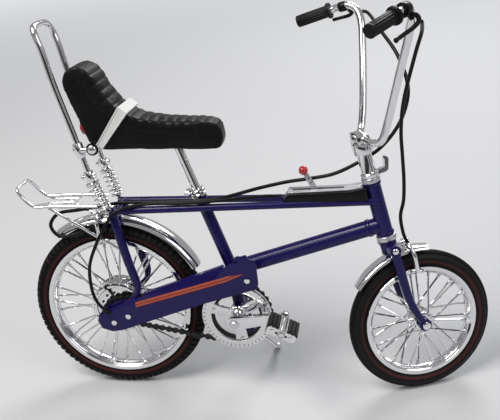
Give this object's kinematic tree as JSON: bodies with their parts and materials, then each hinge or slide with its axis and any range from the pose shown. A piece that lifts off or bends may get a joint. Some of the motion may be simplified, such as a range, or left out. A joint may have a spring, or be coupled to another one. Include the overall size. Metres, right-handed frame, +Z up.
{
  "type": "toy scale model of a chopper bicycle",
  "caption": "Small die-cast style model of a chopper bicycle with high handlebar, banana seat, hoop, rack, chainguard and side stand, parked leaning left.",
  "frame": {"origin": "on the ground below the centre of the parked model's box", "axes": "+X towards the front wheel, +Y to the bike's left, +Z up; the bike leans left on its side stand"},
  "size_m": [0.1092, 0.0485, 0.0922],
  "materials": {
    "indigo_paint": "gloss",
    "tyre_rubber": "satin",
    "black_rubber": "matte",
    "seat_vinyl": "satin",
    "strap_white": "gloss",
    "red_plastic": "gloss",
    "cable_black": "satin",
    "black_plastic": "satin",
    "dark_steel": "satin",
    "brushed_plate": "brushed",
    "chrome": "polished"
  },
  "bodies": {
    "frame": {"main_frame": "indigo_paint", "top_rails": "indigo_paint", "rear_stays": "indigo_paint", "headset": "chrome", "chainguard": "indigo_paint", "guard_bolts": "chrome", "chain": "dark_steel", "rear_axle_pin": "chrome", "seat": "seat_vinyl", "seat_strap": "strap_white", "seat_post": "chrome", "seat_clamp": "chrome", "sissy_bar": "chrome", "sissy_brackets": "chrome", "springs": "chrome", "rack": "chrome", "rear_mudguard": "chrome", "rear_caliper": "chrome", "gear_console": "black_plastic", "gear_plate": "brushed_plate", "gear_lever": "chrome", "lever_knob": "red_plastic", "reflector": "red_plastic", "gear_cable": "cable_black", "rear_brake_cable": "cable_black", "stand_bracket": "indigo_paint"},
    "cranks": {"chainring": "chrome", "crank_arms": "chrome"},
    "right_pedal": {"right_pedal_frame": "chrome", "right_pedal_blocks": "black_rubber"},
    "left_pedal": {"left_pedal_frame": "chrome", "left_pedal_blocks": "black_rubber"},
    "rear_wheel": {"rear_wheel_rim": "chrome", "rear_tyre": "tyre_rubber", "rear_sprocket": "dark_steel"},
    "stand": {"side_stand": "chrome"},
    "steering": {"fork": "indigo_paint", "front_axle_pin": "chrome", "stem": "chrome", "handlebar": "chrome", "grips": "black_rubber", "brake_levers": "black_plastic", "front_mudguard": "chrome", "front_caliper": "chrome", "front_brake_cable": "cable_black"},
    "front_wheel": {"front_wheel_rim": "chrome", "front_tyre": "tyre_rubber"}
  },
  "joints": [
    {"name": "steering", "type": "hinge", "parent": "frame", "child": "steering", "pos_m": [0.03084, -0.00466, 0.0398], "axis": [-0.2245, 0.0934, 0.97], "range_deg": [-65.6, 24.4], "deforming": ["rear_brake_cable"]},
    {"name": "front_wheel_spin", "type": "hinge", "parent": "steering", "child": "front_wheel", "pos_m": [0.03849, -0.00601, 0.01678], "axis": [-0.3429, 0.9242, -0.1684], "continuous": true},
    {"name": "rear_wheel_spin", "type": "hinge", "parent": "frame", "child": "rear_wheel", "pos_m": [-0.03317, -0.00644, 0.02131], "axis": [0, 0.9954, -0.0958], "continuous": true},
    {"name": "crank_spin", "type": "hinge", "parent": "frame", "child": "cranks", "pos_m": [-0.00357, -0.00653, 0.0204], "axis": [0, 0.9954, -0.0958], "continuous": true},
    {"name": "right_pedal_spin", "type": "hinge", "parent": "cranks", "child": "right_pedal", "pos_m": [0.00822, -0.01911, 0.02327], "axis": [0, 0.9954, -0.0958], "continuous": true},
    {"name": "left_pedal_spin", "type": "hinge", "parent": "cranks", "child": "left_pedal", "pos_m": [-0.01536, 0.00606, 0.01753], "axis": [0, 0.9954, -0.0958], "continuous": true},
    {"name": "side_stand", "type": "hinge", "parent": "frame", "child": "stand", "pos_m": [-0.00217, -0.00276, 0.0115], "axis": [0.2081, 0.7526, 0.6247], "range_deg": [0, 116.2]}
  ]
}
